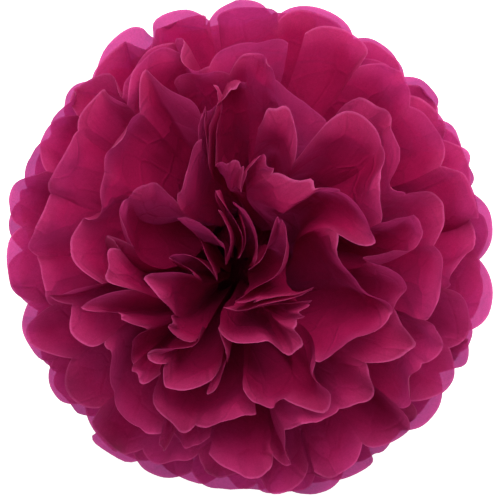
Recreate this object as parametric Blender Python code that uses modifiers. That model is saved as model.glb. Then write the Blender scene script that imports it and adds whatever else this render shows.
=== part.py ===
"""Tissue paper pom pom.

Twelve sheets of tissue are pleated together, tied round the middle with a wire
and pulled apart, six upwards and six downwards, into a ball. Each sheet stays
one folded piece: a narrow band under the wire and two fans of pleats with
rounded ends. The origin is the middle of the tie, +Z is the way the upper
sheets were pulled, and the pleated strip lay along X.
"""

import math
import random

import bmesh
import bpy
import numpy as np

# Paper as it was cut and folded.
PLEATS = 11
PLEAT_WIDTH = 0.03464
STRIP_LENGTH = 0.254
END_NOTCH = 0.009
END_ROUNDNESS = 2.3
SHEETS_EACH_WAY = 6
PAPER_THICKNESS = 0.00035
SHEET_SPACE = 0.0003

# The tie.
BAND_WIDTH = 0.009
BAND_LENGTH = 0.005
WIRE_DIAMETER = 0.0009
WIRE_SPACE = 0.0003
WIRE_CORNER = 0.0016
TWIST_LENGTH = 0.012
TWIST_TURNS = 2
STEPS_PER_TURN = 5

# How the sheets stand once they are pulled apart.
HEART_ANGLE = math.radians(13.5)
EQUATOR_ANGLE = math.radians(83.5)
ANGLE_SPACING = 1.08
LARGEST_LEAN = math.radians(88)
BEND_REACH = 0.050
BEND_POWER = 0.8
SLIT_ANGLE = math.radians(1.3)
SLIT_CLOSING = 0.85
SLIT_SWING = math.radians(18)
SWING_AT_TIE = 0.2
SWING_VARIES = (0.4, 1.0)
EDGE_VARIES = (0.7, 1.2)

# Where along the reach, and over what share of it, folds form and leave their even layout.
FOLD_FROM, FOLD_OVER = 0.09, 0.28
FREE_FROM, FREE_OVER = 0.16, 0.59
TIP_FROM = 0.45

# How the pleats open round the ball, widths in average pleats.
OPEN_SHARE = 0.97
WIDEST_OPEN = 2.6
CLOSED_SHARE = 0.16
CLOSED_WIDTH = 0.0025
WIDTH_WHERE_ALL_OPEN = 1.03
OPEN_VARIES = (0.7, 1.0)
WIDTH_OPENED = 0.92
CLOSED_VARIES = (0.8, 2.2)
KEPT_WIDTH = 0.55
SMALLEST_RISE = 0.34
TUCK_DEPTH = 0.1
CREASE_VARIES = (0.25, 1.15)
CREASE_AT_HEART = (0.45, 1.30)
BOW_VARIES = (-0.5, 1.0)
ARC_RISE = 0.375
LARGEST_FOLD = math.radians(13)
LARGEST_FOLD_SHARE = 0.8
FOLD_WANDER = math.radians(2.5)
DRIFT = math.radians(4.0)
DRIFT_AT_HEART = 0.4
PETAL_CURL = math.radians(8.0)
FOLD_CURL = 0.6
OUTWARD_CURL = 0.2
LENGTH_SPREAD = 0.031
LENGTH_VARIES = (-1.0, 0.6)
HEART_SHORTER = 0.024

# Room kept between neighbouring sheets.
CLEAR_ANGLE = math.radians(1.8)
CLEAR_SHEETS = 8
CLEAR_HEART = 0.65
PUSH_FROM = 0.13
PUSH_STEP = 0.5
PUSH_ROUNDS = 120
PUSH_SAMPLES = 720

# Slow twists that all the sheets share, each round the axis of its own cap of the ball.
TWISTS = 26
TWIST_ANGLE = math.radians(15)
TWIST_SIZES = (math.radians(22), math.radians(40))
TWIST_VARIES = (0.5, 1.0)
TWIST_FROM = 0.2
TWIST_OVER = 0.9
SEED = 11

TISSUE_COLOUR = (0.42, 0.012, 0.115, 1.0)
WIRE_COLOUR = (0.36, 0.02, 0.11, 1.0)

REACH = STRIP_LENGTH / 2
SHEET_PITCH = PAPER_THICKNESS + SHEET_SPACE
LINES = 2 * PLEATS + 1
SHEETS = 2 * SHEETS_EACH_WAY

# Distances from the tie at which the folds are laid out, as shares of the reach,
# and how many columns of faces a pleat has there. Up to the row of straight
# folds a pleat is flat between its two folds.
ROWS = REACH * np.array([0, 0.09, 0.22, 0.41, 0.69, 1.02])
ROW_COLUMNS = (1, 1, 1, 1, 2)
RIM_COLUMNS = 4
STRAIGHT_ROWS = 4


def ease(t):
    """Smooth step from 0 to 1."""
    t = np.clip(t, 0.0, 1.0)
    return t * t * (3 - 2 * t)


def freedom(r):
    """Share of their free layout that the folds have reached at distance r from the tie."""
    return ease((r / REACH - FREE_FROM) / FREE_OVER)


def mean_angle(index):
    """Polar angle at which a sheet stands on average, counted from the upper heart."""
    share = min(index, SHEETS - 1 - index) / max(SHEETS_EACH_WAY - 1, 1)
    angle = HEART_ANGLE + (EQUATOR_ANGLE - HEART_ANGLE) * (1 - (1 - share) ** ANGLE_SPACING)
    return angle if index < SHEETS_EACH_WAY else math.pi - angle


def pleat_widths(rng, mean):
    """Widths of the pleats round the ball, in average pleats: open ones and closed ones."""
    average = REACH * math.sin(mean) * math.pi / PLEATS
    widest = max(min(OPEN_SHARE * PLEAT_WIDTH / average, WIDEST_OPEN), WIDTH_WHERE_ALL_OPEN)
    closed = max(CLOSED_SHARE, CLOSED_WIDTH / average)
    opened = min(round(PLEATS * (1 - closed) / (WIDTH_OPENED * widest - closed)), PLEATS)
    kinds = [True] * opened + [False] * (PLEATS - opened)
    rng.shuffle(kinds)
    width = np.array([widest * rng.uniform(*OPEN_VARIES) if kind else closed * rng.uniform(*CLOSED_VARIES)
                      for kind in kinds])
    for _ in range(6):
        width = np.clip(width * PLEATS / width.sum(), CLOSED_VARIES[0] * closed, widest)
    return width * PLEATS / width.sum()


def placed_lines(widths, low, high):
    """Azimuths of the fold and middle lines for pleats of the given widths."""
    edges = np.concatenate([[0.0], np.cumsum(widths)])
    line = np.empty(LINES)
    line[0::2] = edges
    line[1::2] = (edges[1:] + edges[:-1]) / 2
    return low + (high - low) * line / PLEATS


def fan_lines(rng, mean, start_turn, end_turn):
    """Azimuth and polar angle of the fold and middle lines of one fan, row by row."""
    free = freedom(ROWS)[:, None]
    tip = np.clip((ROWS[:, None] / REACH - TIP_FROM) / (1 - TIP_FROM), 0, 1.1) ** 2
    low, high = SLIT_ANGLE - math.pi / 2, math.pi / 2 - SLIT_ANGLE
    widths = pleat_widths(rng, mean)
    tip_widths = KEPT_WIDTH * widths + (1 - KEPT_WIDTH) * pleat_widths(rng, mean)
    opened = placed_lines(widths, low + start_turn, high + end_turn)
    opened_tip = placed_lines(tip_widths, low + start_turn, high + end_turn)
    tied = placed_lines(np.ones(PLEATS), low + SWING_AT_TIE * start_turn, high + SWING_AT_TIE * end_turn)
    phi = tied + (opened + (opened_tip - opened) * tip - tied) * free

    chord = ROWS[:, None] * math.sin(mean) * (phi[:, 2::2] - phi[:, 0:-2:2])
    rise = np.sqrt(np.maximum(PLEAT_WIDTH**2 - chord**2, (SMALLEST_RISE * PLEAT_WIDTH) ** 2)) / 2
    height = np.empty((len(ROWS), PLEATS + 1))
    height[:, 1:-1] = (rise[:, 1:] + rise[:, :-1]) / 2
    height[:, 0], height[:, -1] = rise[:, 0], rise[:, -1]
    largest = min(LARGEST_FOLD, LARGEST_FOLD_SHARE * min(mean, math.pi - mean))
    radius = np.maximum(ROWS, 1e-4)[:, None]
    swing = largest * np.tanh(height / radius / largest)
    swing *= ease((ROWS[:, None] / REACH - FOLD_FROM) / FOLD_OVER)
    turn = np.array([1 if i % 2 else -1 for i in range(PLEATS + 1)])
    depth = 1 - math.sin(mean)
    least, most = (a + (b - a) * depth for a, b in zip(CREASE_VARIES, CREASE_AT_HEART))
    crease = np.array([rng.uniform(least, most) for _ in range(PLEATS + 1)])
    beside = np.concatenate([widths[:1], (widths[1:] + widths[:-1]) / 2, widths[-1:]])
    crease *= np.minimum(TUCK_DEPTH + (1 - TUCK_DEPTH) * beside, 1)
    lift = np.array([rng.uniform(-1, 1) * FOLD_WANDER for _ in range(PLEATS + 1)])
    folds = mean + turn * swing * (1 + (crease - 1) * free) + lift * free

    straight = np.hypot(chord, radius * (folds[:, 1:] - folds[:, :-1]))
    spare = np.clip(PLEAT_WIDTH - straight, 0, 0.5 * PLEAT_WIDTH)
    sag = np.sqrt(ARC_RISE * spare * np.maximum(straight, 0.2 * PLEAT_WIDTH)) / radius
    outward = 1 if mean < math.pi / 2 else -1
    bow = np.array([rng.uniform(*BOW_VARIES) for _ in range(PLEATS)]) * outward
    theta = np.empty((len(ROWS), LINES))
    theta[:, 0::2] = folds
    theta[:, 1::2] = (folds[:, 1:] + folds[:, :-1]) / 2 + bow * np.minimum(sag, PETAL_CURL) * free
    depth_of_drift = DRIFT_AT_HEART + (1 - DRIFT_AT_HEART) * math.sin(mean)
    for waves in (1, 2, 3):
        start = rng.uniform(0, 2 * math.pi)
        theta += DRIFT / waves * np.sin(waves * phi + start) * depth_of_drift * free
    curl = np.array([rng.uniform(-1, 1) for _ in range(LINES)])
    curl[0::2] *= FOLD_CURL * PETAL_CURL
    curl[1::2] = (curl[1::2] + OUTWARD_CURL * outward) * PETAL_CURL
    return phi, theta + curl * tip


def lay_out_sheets():
    """Fold nets of all the sheets, from the upper heart to the lower one."""
    sheets = []
    for index in range(SHEETS):
        rng = random.Random(SEED * 1000 + index * 17)
        mean = mean_angle(index)
        swing = SLIT_SWING * (1 if index % 2 else -1) * rng.uniform(*SWING_VARIES)
        start, end = swing * rng.uniform(*EDGE_VARIES), swing * rng.uniform(*EDGE_VARIES)
        phis, thetas, lengths = [], [], []
        for side in (1, -1):
            phi, theta = fan_lines(rng, mean, side * start, side * end)
            length = np.array([rng.uniform(*LENGTH_VARIES) * LENGTH_SPREAD * REACH for _ in range(PLEATS)])
            if side < 0:
                phi, theta, length = (math.pi - phi)[:, ::-1], theta[:, ::-1], length[::-1]
            phis.append(phi)
            thetas.append(theta)
            lengths.append(length)
        reach = REACH * (1 - HEART_SHORTER * abs(math.cos(mean)))
        sheets.append({"index": index, "reach": reach, "lengths": lengths,
                       "phi": np.concatenate(phis, axis=1), "theta": np.concatenate(thetas, axis=1)})
    push_apart(sheets)
    return sheets


def places_on_rows(sheets, samples):
    """Where each sample azimuth falls on each sheet's lines, on the rows and between them."""
    grid = np.linspace(0, 2 * math.pi, samples, endpoint=False)
    levels = [(k, part) for k in range(1, len(ROWS) - 1) for part in (0.0, 0.25, 0.5, 0.75)]
    levels.append((len(ROWS) - 2, 1.0))
    count = sheets[0]["phi"].shape[1]
    left = np.empty((len(sheets), len(levels), samples), int)
    share = np.empty((len(sheets), len(levels), samples))
    for s, sheet in enumerate(sheets):
        for c, (k, part) in enumerate(levels):
            line = sheet["phi"][k] * (1 - part) + sheet["phi"][k + 1] * part
            closed = np.append(line, line[0] + 2 * math.pi)
            at = np.mod(grid - line[0], 2 * math.pi) + line[0]
            i = np.clip(np.searchsorted(closed, at, side="right") - 1, 0, count - 1)
            left[s, c] = i
            share[s, c] = (at - closed[i]) / np.maximum(closed[i + 1] - closed[i], 1e-9)
    return levels, left, (left + 1) % count, share


def push_apart(sheets):
    """Moves neighbouring sheets apart in polar angle wherever their folds would cross."""
    levels, left, right, share = places_on_rows(sheets, PUSH_SAMPLES)
    low = np.array([k for k, part in levels])[:, None]
    part = np.array([part for k, part in levels])[:, None]
    theta = np.stack([sheet["theta"] for sheet in sheets])
    at = ROWS[low] * (1 - part) + ROWS[low + 1] * part
    need = CLEAR_ANGLE + CLEAR_SHEETS * PAPER_THICKNESS / at
    moves = PUSH_STEP * (at > PUSH_FROM * REACH)
    for _ in range(PUSH_ROUNDS):
        for s in range(len(sheets) - 1):
            weights = []
            angles = []
            for t in (s, s + 1):
                near, far = 1 - share[t], share[t]
                corners = [(low, left[t], (1 - part) * near), (low, right[t], (1 - part) * far),
                           (low + 1, left[t], part * near), (low + 1, right[t], part * far)]
                weights.append(corners)
                angles.append(sum(theta[t][row, line] * weight for row, line, weight in corners))
            crowded = 1 + CLEAR_HEART * math.cos((mean_angle(s) + mean_angle(s + 1)) / 2) ** 2
            short = np.maximum(need * crowded - (angles[1] - angles[0]), 0) * moves
            for t, corners, way in ((s, weights[0], -1), (s + 1, weights[1], 1)):
                push = np.zeros_like(theta[t])
                for row, line, weight in corners:
                    rows = np.broadcast_to(row, line.shape)
                    np.maximum.at(push, (rows, line), short * weight)
                theta[t] += way * push
        for fan in (0, LINES):
            folds = theta[:, :STRAIGHT_ROWS, fan:fan + LINES:2]
            theta[:, :STRAIGHT_ROWS, fan + 1:fan + LINES:2] = (folds[:, :, 1:] + folds[:, :, :-1]) / 2
        theta = np.clip(theta, math.pi / 2 - LARGEST_LEAN, math.pi / 2 + LARGEST_LEAN)
    for s, sheet in enumerate(sheets):
        sheet["theta"] = theta[s]


def twisted(points):
    """The points turned by the local twists that all the sheets share.

    Each twist turns a cap of the ball about the cap's own axis and keeps every
    distance from the tie, so sheets that lie apart stay apart.
    """
    rng = random.Random(SEED)
    moved = points.copy()
    distance = np.linalg.norm(points, axis=1)
    growth = ease((distance / REACH - TWIST_FROM) / TWIST_OVER)
    for _ in range(TWISTS):
        axis = np.array([rng.gauss(0, 1) for _ in range(3)])
        axis /= np.linalg.norm(axis)
        size = rng.uniform(*TWIST_SIZES)
        turn = rng.choice((-1, 1)) * rng.uniform(*TWIST_VARIES) * TWIST_ANGLE
        along = moved @ axis
        off = np.arccos(np.clip(along / np.maximum(distance, 1e-9), -1, 1))
        angle = turn * growth * np.clip(1 - (off / size) ** 2, 0, 1) ** 2
        c, s = np.cos(angle)[:, None], np.sin(angle)[:, None]
        moved = moved * c + np.cross(axis, moved) * s + np.outer(along, axis) * (1 - c)
    return moved


def end_cut(share):
    """How far the rounded end of a pleat falls short of its tip, across its width."""
    return END_NOTCH * (1 - math.sqrt(max(1 - abs(2 * share - 1) ** END_ROUNDNESS, 0)))


def rim_reach(sheet, fan, pleat, share):
    """Distance from the tie to the cut end at one place across a pleat."""
    lengths = sheet["lengths"][fan]
    own = lengths[pleat]
    beside = lengths[max(pleat - 1, 0)] if share < 0.5 else lengths[min(pleat + 1, PLEATS - 1)]
    edge = (2 * share - 1) ** 2
    return sheet["reach"] + own + (beside - own) * 0.5 * edge - end_cut(share)


def net_value(values, row, fan, across):
    """Value of the net at a row, possibly between rows, and a place across the fan."""
    line = min(int(across * 2), LINES - 2)
    part = across * 2 - line
    column = fan * LINES + line
    k = min(int(row), len(ROWS) - 2)
    f = row - k
    low = values[k, column] * (1 - part) + values[k, column + 1] * part
    high = values[k + 1, column] * (1 - part) + values[k + 1, column + 1] * part
    return float(low * (1 - f) + high * f)


def sheet_point(sheet, fan, across, r):
    """A point of the sheet's middle surface, at a distance from the tie and across a fan."""
    row = float(np.interp(r, ROWS, np.arange(len(ROWS))))
    phi = net_value(sheet["phi"], row, fan, across)
    theta = net_value(sheet["theta"], row, fan, across)
    bent = float(ease(r / BEND_REACH))
    theta = math.pi / 2 - (math.pi / 2 - theta) * bent**BEND_POWER
    side = 1 if fan == 0 else -1
    x = side * BAND_LENGTH / 2 * (1 - SLIT_CLOSING * bent) + r * math.sin(theta) * math.cos(phi)
    y = side * BAND_WIDTH * (across / PLEATS - 0.5) + r * math.sin(theta) * math.sin(phi)
    z = (SHEETS_EACH_WAY - sheet["index"] - 0.5) * SHEET_PITCH + r * math.cos(theta)
    return x, y, z


def add_strip(bm, inner, outer, flip):
    """Faces between two rows of vertices; the outer row has as many columns or twice as many."""
    for i in range(len(inner) - 1):
        if len(outer) == len(inner):
            loops = [(inner[i], inner[i + 1], outer[i + 1]), (inner[i], outer[i + 1], outer[i])]
        else:
            a, m, b = outer[2 * i], outer[2 * i + 1], outer[2 * i + 2]
            loops = [(inner[i], m, a), (inner[i], inner[i + 1], m), (inner[i + 1], b, m)]
        for loop in loops:
            bm.faces.new(reversed(loop) if flip else loop)


def build_sheet(name, sheet, material, collection):
    """One sheet: two fans of pleats joined by the band under the wire."""
    bm = bmesh.new()
    roots = []
    for fan in (0, 1):
        rows = []
        for k, columns in enumerate(ROW_COLUMNS):
            places = np.linspace(0, PLEATS, PLEATS * columns + 1)
            rows.append([sheet_point(sheet, fan, float(p), float(ROWS[k])) for p in places])
        rim = []
        for c in range(PLEATS * RIM_COLUMNS + 1):
            pleat = min(c // RIM_COLUMNS, PLEATS - 1)
            r = rim_reach(sheet, fan, pleat, c / RIM_COLUMNS - pleat)
            rim.append(sheet_point(sheet, fan, c / RIM_COLUMNS, r))
        rows.append(rim)
        rows = [[bm.verts.new(point) for point in twisted(np.array(row))] for row in rows]
        for inner, outer in zip(rows, rows[1:]):
            add_strip(bm, inner, outer, flip=False)
        roots.append(rows[0])
    add_strip(bm, roots[0], roots[1][::-1], flip=True)
    bmesh.ops.recalc_face_normals(bm, faces=bm.faces)
    mesh = bpy.data.meshes.new(name)
    bm.to_mesh(mesh)
    bm.free()
    mesh.materials.append(material)
    sheet_object = bpy.data.objects.new(name, mesh)
    collection.objects.link(sheet_object)
    solid = sheet_object.modifiers.new("paper thickness", "SOLIDIFY")
    solid.thickness = PAPER_THICKNESS
    solid.offset = 0.0
    solid.use_rim = True
    return sheet_object


def wire_path():
    """Centre line of the wire: out along the twist, round the bundle and back."""
    radius = WIRE_DIAMETER / 2
    half_y = BAND_WIDTH / 2 + WIRE_SPACE + radius
    half_z = SHEETS_EACH_WAY * SHEET_PITCH - SHEET_SPACE / 2 + WIRE_SPACE + radius
    twist = radius + WIRE_SPACE
    corner = min(WIRE_CORNER, half_z / 2)
    steps = STEPS_PER_TURN * TWIST_TURNS
    first = []
    for i in range(steps + 1):
        angle = math.pi / 2 + 2 * math.pi * TWIST_TURNS * i / steps
        y = -half_y - 3 * radius - TWIST_LENGTH * (1 - i / steps)
        first.append((twist * math.cos(angle), y, twist * math.sin(angle)))
    second = [(-x, y, -z) for x, y, z in reversed(first)]
    loop = []
    corners = ((-half_y, half_z, 180), (half_y, half_z, 90), (half_y, -half_z, 0), (-half_y, -half_z, -90))
    for y, z, start in corners:
        cy = y - math.copysign(corner, y)
        cz = z - math.copysign(corner, z)
        for step in range(3):
            turn = math.radians(start - 45 * step)
            loop.append((0.0, cy + corner * math.cos(turn), cz + corner * math.sin(turn)))
    return first + loop + second


def build_wire(material, collection):
    """Paper-covered florist wire pulled tight round the sheets, its ends twisted together."""
    points = wire_path()
    curve = bpy.data.curves.new("tie_wire", "CURVE")
    curve.dimensions = "3D"
    curve.bevel_depth = WIRE_DIAMETER / 2
    curve.bevel_resolution = 1
    curve.use_fill_caps = True
    spline = curve.splines.new("POLY")
    spline.points.add(len(points) - 1)
    for place, point in zip(spline.points, points):
        place.co = (*point, 1.0)
    curve.materials.append(material)
    wire = bpy.data.objects.new("tie_wire", curve)
    collection.objects.link(wire)
    return wire


def paint(name, colour, roughness):
    """A plain material for one piece."""
    material = bpy.data.materials.new(name)
    material.use_nodes = True
    shader = material.node_tree.nodes["Principled BSDF"]
    shader.inputs["Base Color"].default_value = colour
    shader.inputs["Roughness"].default_value = roughness
    shader.inputs["Metallic"].default_value = 0.0
    return material


def main():
    for left_over in list(bpy.data.objects):
        bpy.data.objects.remove(left_over, do_unlink=True)
    pom_pom = bpy.data.collections.new("tissue_paper_pom_pom")
    bpy.context.scene.collection.children.link(pom_pom)
    for sheet in lay_out_sheets():
        index = sheet["index"]
        name = f"upper_sheet_{index + 1}" if index < SHEETS_EACH_WAY else f"lower_sheet_{SHEETS - index}"
        build_sheet(name, sheet, paint(f"{name}_tissue", TISSUE_COLOUR, 0.8), pom_pom)
    build_wire(paint("tie_wire_cover", WIRE_COLOUR, 0.7), pom_pom)


main()
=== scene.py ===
import functools
import math
import random

import bpy
import numpy as np
from bpy.props import FloatProperty, FloatVectorProperty, IntProperty, PointerProperty
from bpy.types import Operator, Panel, PropertyGroup
from mathutils import Matrix, Vector


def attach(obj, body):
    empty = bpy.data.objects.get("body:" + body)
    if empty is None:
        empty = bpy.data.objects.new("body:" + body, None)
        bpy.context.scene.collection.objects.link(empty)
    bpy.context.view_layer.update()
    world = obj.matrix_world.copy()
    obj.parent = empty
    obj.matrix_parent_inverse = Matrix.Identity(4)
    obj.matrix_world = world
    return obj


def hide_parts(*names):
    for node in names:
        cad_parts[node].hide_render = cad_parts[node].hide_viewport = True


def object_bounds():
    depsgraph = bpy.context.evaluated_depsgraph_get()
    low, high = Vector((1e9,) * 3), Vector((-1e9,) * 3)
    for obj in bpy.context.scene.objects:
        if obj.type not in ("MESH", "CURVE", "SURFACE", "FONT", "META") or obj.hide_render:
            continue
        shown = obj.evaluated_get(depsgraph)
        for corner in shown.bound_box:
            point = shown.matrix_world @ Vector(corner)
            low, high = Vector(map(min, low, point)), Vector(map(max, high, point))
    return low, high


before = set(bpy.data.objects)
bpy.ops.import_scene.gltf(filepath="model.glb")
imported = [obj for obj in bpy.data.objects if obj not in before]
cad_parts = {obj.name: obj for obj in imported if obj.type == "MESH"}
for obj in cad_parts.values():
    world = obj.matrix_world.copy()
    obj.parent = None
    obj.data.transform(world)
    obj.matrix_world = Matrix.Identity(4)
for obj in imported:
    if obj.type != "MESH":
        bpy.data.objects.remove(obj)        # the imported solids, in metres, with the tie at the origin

bl_info = {
    "name": "Tissue Paper Pom Pom",
    "version": (1, 0, 0),
    "blender": (4, 5, 0),
    "location": "View3D > Sidebar > Pom Pom",
    "description": "Pleated tissue sheets, tied and pulled apart into a ball, with wire, floor and light",
    "category": "Add Mesh",
}

CAD_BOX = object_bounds()
BALL_LOW = CAD_BOX[0][2]
BALL_WIDTH = CAD_BOX[1][1] - CAD_BOX[0][1]

# The tie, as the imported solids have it.
SOLID_THICKNESS = 0.00035
SOLID_SPACE = 0.0003
BAND_WIDTH = 0.009
BAND_LENGTH = 0.005

# How the sheets stand once they are pulled apart.
HEART_ANGLE = math.radians(13.5)
EQUATOR_ANGLE = math.radians(83.5)
ANGLE_SPACING = 1.08
LARGEST_LEAN = math.radians(88)
BEND_REACH = 0.050
BEND_POWER = 0.8
SLIT_ANGLE = math.radians(1.3)
SLIT_SWING = math.radians(18)
SWING_AT_TIE = 0.2
SWING_VARIES = (0.4, 1.0)
EDGE_VARIES = (0.7, 1.2)

# Where along the reach, and over what share of it, folds form and leave their even layout.
FOLD_FROM, FOLD_OVER = 0.09, 0.28
FREE_FROM, FREE_OVER = 0.16, 0.59
TIP_FROM = 0.45

# How the pleats open round the ball, widths in average pleats.
OPEN_SHARE = 0.97
WIDEST_OPEN = 2.6
CLOSED_SHARE = 0.16
CLOSED_WIDTH = 0.0025
WIDTH_WHERE_ALL_OPEN = 1.03
OPEN_VARIES = (0.7, 1.0)
WIDTH_OPENED = 0.92
WIDTH_ROUNDS = 6
CLOSED_VARIES = (0.8, 2.2)
KEPT_WIDTH = 0.55

# How deep the folds are and how far a pleat bows, with lengths as shares of a pleat's width.
SMALLEST_RISE = 0.34
LARGEST_FOLD = math.radians(13)
LARGEST_FOLD_SHARE = 0.8
TUCK_DEPTH = 0.1
CREASE_VARIES = (0.25, 1.15)
CREASE_AT_HEART = (0.45, 1.30)
MOST_SPARE = 0.5
LEAST_STRAIGHT = 0.2
ARC_RISE = 0.375
BOW_VARIES = (-0.5, 1.0)

# How the folds wander and the petals curl.
FOLD_WANDER = math.radians(2.5)
DRIFT = math.radians(4.0)
DRIFT_AT_HEART = 0.4
PETAL_CURL = math.radians(8.0)
FOLD_CURL = 0.6
OUTWARD_CURL = 0.2
FURTHEST_TIP = 1.1

# How long the petals are, as shares of the reach.
LENGTH_SPREAD = 0.031
LENGTH_VARIES = (-1.0, 0.6)
HEART_SHORTER = 0.024

# Room kept between neighbouring sheets, and the steps in which they are moved apart.
CLEAR_ANGLE = math.radians(1.8)
CLEAR_SHEETS = 8
CLEAR_HEART = 0.65
PUSH_FROM = 0.13
PUSH_STEP = 0.5
PUSH_ROUNDS = 120
PUSH_SAMPLES = 720
PARTS_OF_ROW = (0.0, 0.25, 0.5, 0.75)

# Slow twists that all the sheets share, each round the axis of its own cap of the ball.
TWISTS = 26
TWIST_ANGLE = math.radians(15)
TWIST_SIZES = (math.radians(22), math.radians(40))
TWIST_VARIES = (0.5, 1.0)
TWIST_FROM = 0.2
TWIST_OVER = 0.9

# Distances from the tie at which the folds are laid out, as shares of the reach.
NET_ROWS = np.array([0, 0.09, 0.22, 0.41, 0.69, 1.02])
STRAIGHT_ROWS = 4
LEAST_ROW = 1e-4

# The fine paper. Where two values stand for the sheets, the first is for one at the
# equator and the second for one that stands straight up in the heart.
END_ROUNDNESS = 2.5
CUT_SKEW = 0.10
NOTCH_SHARES = (1.0, 0.45)
CREST_VARIES = (0.30, 0.70)
CREASED_VARIES = (0.1, 1.0)
FOLD_SOFTNESS = (0.04, 0.08)

# Its waved rim, facets, soft waves, and gathers at the tie: how large each is across, how
# stretched outwards, how high, and from or by which share of the reach.
WAVED_FROM = 0.55
FLUTTER_SIZE = 0.016
FLUTTER_STRETCH = 0.4
FINE_FLUTTER = 0.5
FACET_SIZE = 0.022
FACET_SLANTS = ((0.9, 0.45), (-0.5, 0.85))
FINE_FACETS = 0.4
WAVE_SIZE = 0.030
WAVE_STRETCH = 0.8
WAVE_SHARE = 0.9
CRUMPLED_BY = 0.4
GATHER_SIZE = 0.0035
GATHER_STRETCH = 0.12
GATHER_HEIGHT = 0.00025
GATHERED_BY = 0.3
LEAST_RADIUS = 0.02

# Its tips that turn over: from where, how many, which way and how far.
CURLED_FROM = (0.84, 0.89)
CURLED_SHARES = (0.45, 0.85)
CURLED_OUTWARD = (0.5, 0.9)
CURL_TURNS = (0.5, 1.5)
CURL_GAINS = (1.0, 1.7)
CURL_POWERS = (0.7, 0.4)
UNCURLED_TURN = 0.05

# Whirls that crumple each heart: how far off the ball's axis they stand, their size and turn.
WHIRLS = 4
WHIRL_TILTS = (math.radians(4), math.radians(24))
WHIRL_SIZES = (math.radians(15), math.radians(24))
WHIRL_TURNS = (math.radians(25), math.radians(50))

# Smaller turns all round the ball, which crumple the petals.
CRUMPLES = 90
CRUMPLE_SIZES = (math.radians(9), math.radians(17))
CRUMPLE_TURNS = (math.radians(15), math.radians(42))

# The fine sheets close the slit between their two fans, soonest in the hearts.
SLIT_SHUT_BY = 0.0035
SLIT_LAP = 0.03

# First rows of the fine sheets, close together at the tie, as shares of the reach.
STEPS_AT_TIE = (0.0, 0.008, 0.016, 0.026, 0.042)

# Seeds: one for the ball, one for the smaller turns, steps from sheet to sheet, and steps to
# the draws of a fan. The lattice is the table of random values behind the creases and waves.
SEED = 11
WHIRL_SEED = 5
SEED_SCALE, SEED_STEP = 1000, 17
NOISE_STEP = 10
RIM_DRAWS, CREST_DRAWS, TIP_DRAWS = 40, 70, 90
LATTICE = 64

# Units of the two maps that the finish and the painted edge highlight read: the flat sheet's in 10 cm, the
# rim's in 1 cm.
UV_UNITS = 10
RIM_UNITS = 100

# The finish and the painted light: widths and strengths of the paler bands of painted highlight along the
# cut edge, in the rim's units, the creases in the flat sheet's units, and the heights that the bump is made
# from.
PAINTED_HIGHLIGHT_BANDS = ((0.20, 0.72), (1.3, 0.19))
CREASE_CELLS = 6.0
CREASE_WIDTH = 0.07
CREASE_HEIGHT = 1.6
STREAK_SCALES = (2.5, 40.0, 1.0)
STREAK_HEIGHT = 2.0

# The floor, and the room that the lowest petals keep over it.
FLOOR_WIDTH = 6.0
FLOOR_SPACE = 0.0005

# Where the lights stand, their widths, and how far the camera leans sideways for its lean up.
KEY_PLACE, KEY_WIDTH = (0.30, 1.10, 1.10), 1.2
FILL_PLACE, FILL_WIDTH = (-0.35, 0.35, 1.8), 0.9
SIDE_LEAN = 0.57
SENSOR_WIDTH = 36.0


def ease(t):
    """Smooth step from 0 to 1."""
    t = np.clip(t, 0.0, 1.0)
    return t * t * (3 - 2 * t)


class PaperSettings(PropertyGroup):
    """Sizes of the paper and of the ball it opens to."""

    pleats: IntProperty(name="Pleats", description="Pleats folded along a sheet", default=11, min=6, max=20)
    pleat_width: FloatProperty(name="Pleat Width", description="Width of one pleat", default=0.03464,
                               unit="LENGTH", subtype="DISTANCE")
    strip_length: FloatProperty(name="Strip Length", description="Length of the pleated strip, end to end",
                                default=0.254, unit="LENGTH", subtype="DISTANCE")
    end_notch: FloatProperty(name="End Notch", description="Depth of the notch between two rounded ends",
                             default=0.0090, unit="LENGTH", subtype="DISTANCE")
    sheets: IntProperty(name="Sheets Each Way", description="Sheets pulled up, and as many pulled down",
                        default=6, min=2, max=8)
    crumple: FloatProperty(name="Crumple", description="Height of the soft dents left by handling",
                           default=0.0030, unit="LENGTH", subtype="DISTANCE")
    flutter: FloatProperty(name="Rim Flutter", description="Wave of the cut edge",
                           default=math.radians(3.2), unit="ROTATION", subtype="ANGLE")
    columns: IntProperty(name="Columns", description="Columns of faces across a pleat",
                         default=22, min=4, max=24)
    rows: IntProperty(name="Rows", description="Rows of faces from the tie to the cut end",
                      default=58, min=12, max=80)


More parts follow.
